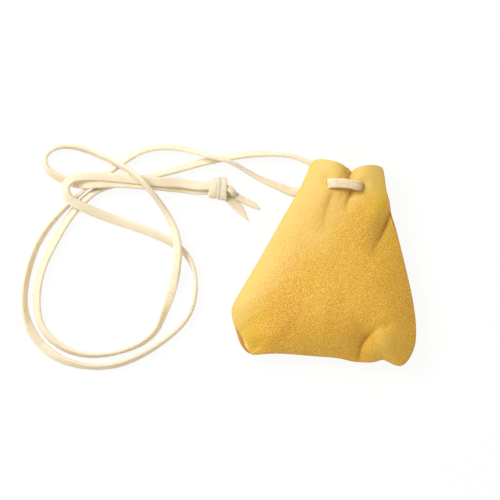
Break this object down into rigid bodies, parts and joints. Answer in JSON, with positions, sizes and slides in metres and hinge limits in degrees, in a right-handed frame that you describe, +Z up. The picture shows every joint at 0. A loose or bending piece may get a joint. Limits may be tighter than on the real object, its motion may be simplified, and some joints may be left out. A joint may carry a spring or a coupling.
{
  "type": "leather drawstring medicine pouch",
  "caption": "Small soft leather pouch lying on its back, mouth gathered by a flat leather thong that loops beside it and ends in an overhand knot",
  "frame": {"origin": "On the surface that the pouch lies on, under the middle of the pouch without its free thong", "axes": "+Y runs from the bottom seam to the open mouth, +X to the right seen on the front panel, +Z up from the surface through the front panel"},
  "size_m": [0.1422, 0.0818, 0.0167],
  "materials": {
    "golden_leather": "smooth golden yellow leather with a fine grain and a soft satin surface",
    "cream_lace": "natural cream buckskin lace, matt and slightly napped"
  },
  "bodies": {
    "root": {"front_panel": "golden_leather", "back_panel": "golden_leather", "thong_bridge": "cream_lace", "thong_strand_left": "cream_lace", "thong_strand_right": "cream_lace", "thong_knot": "cream_lace"}
  },
  "joints": []
}
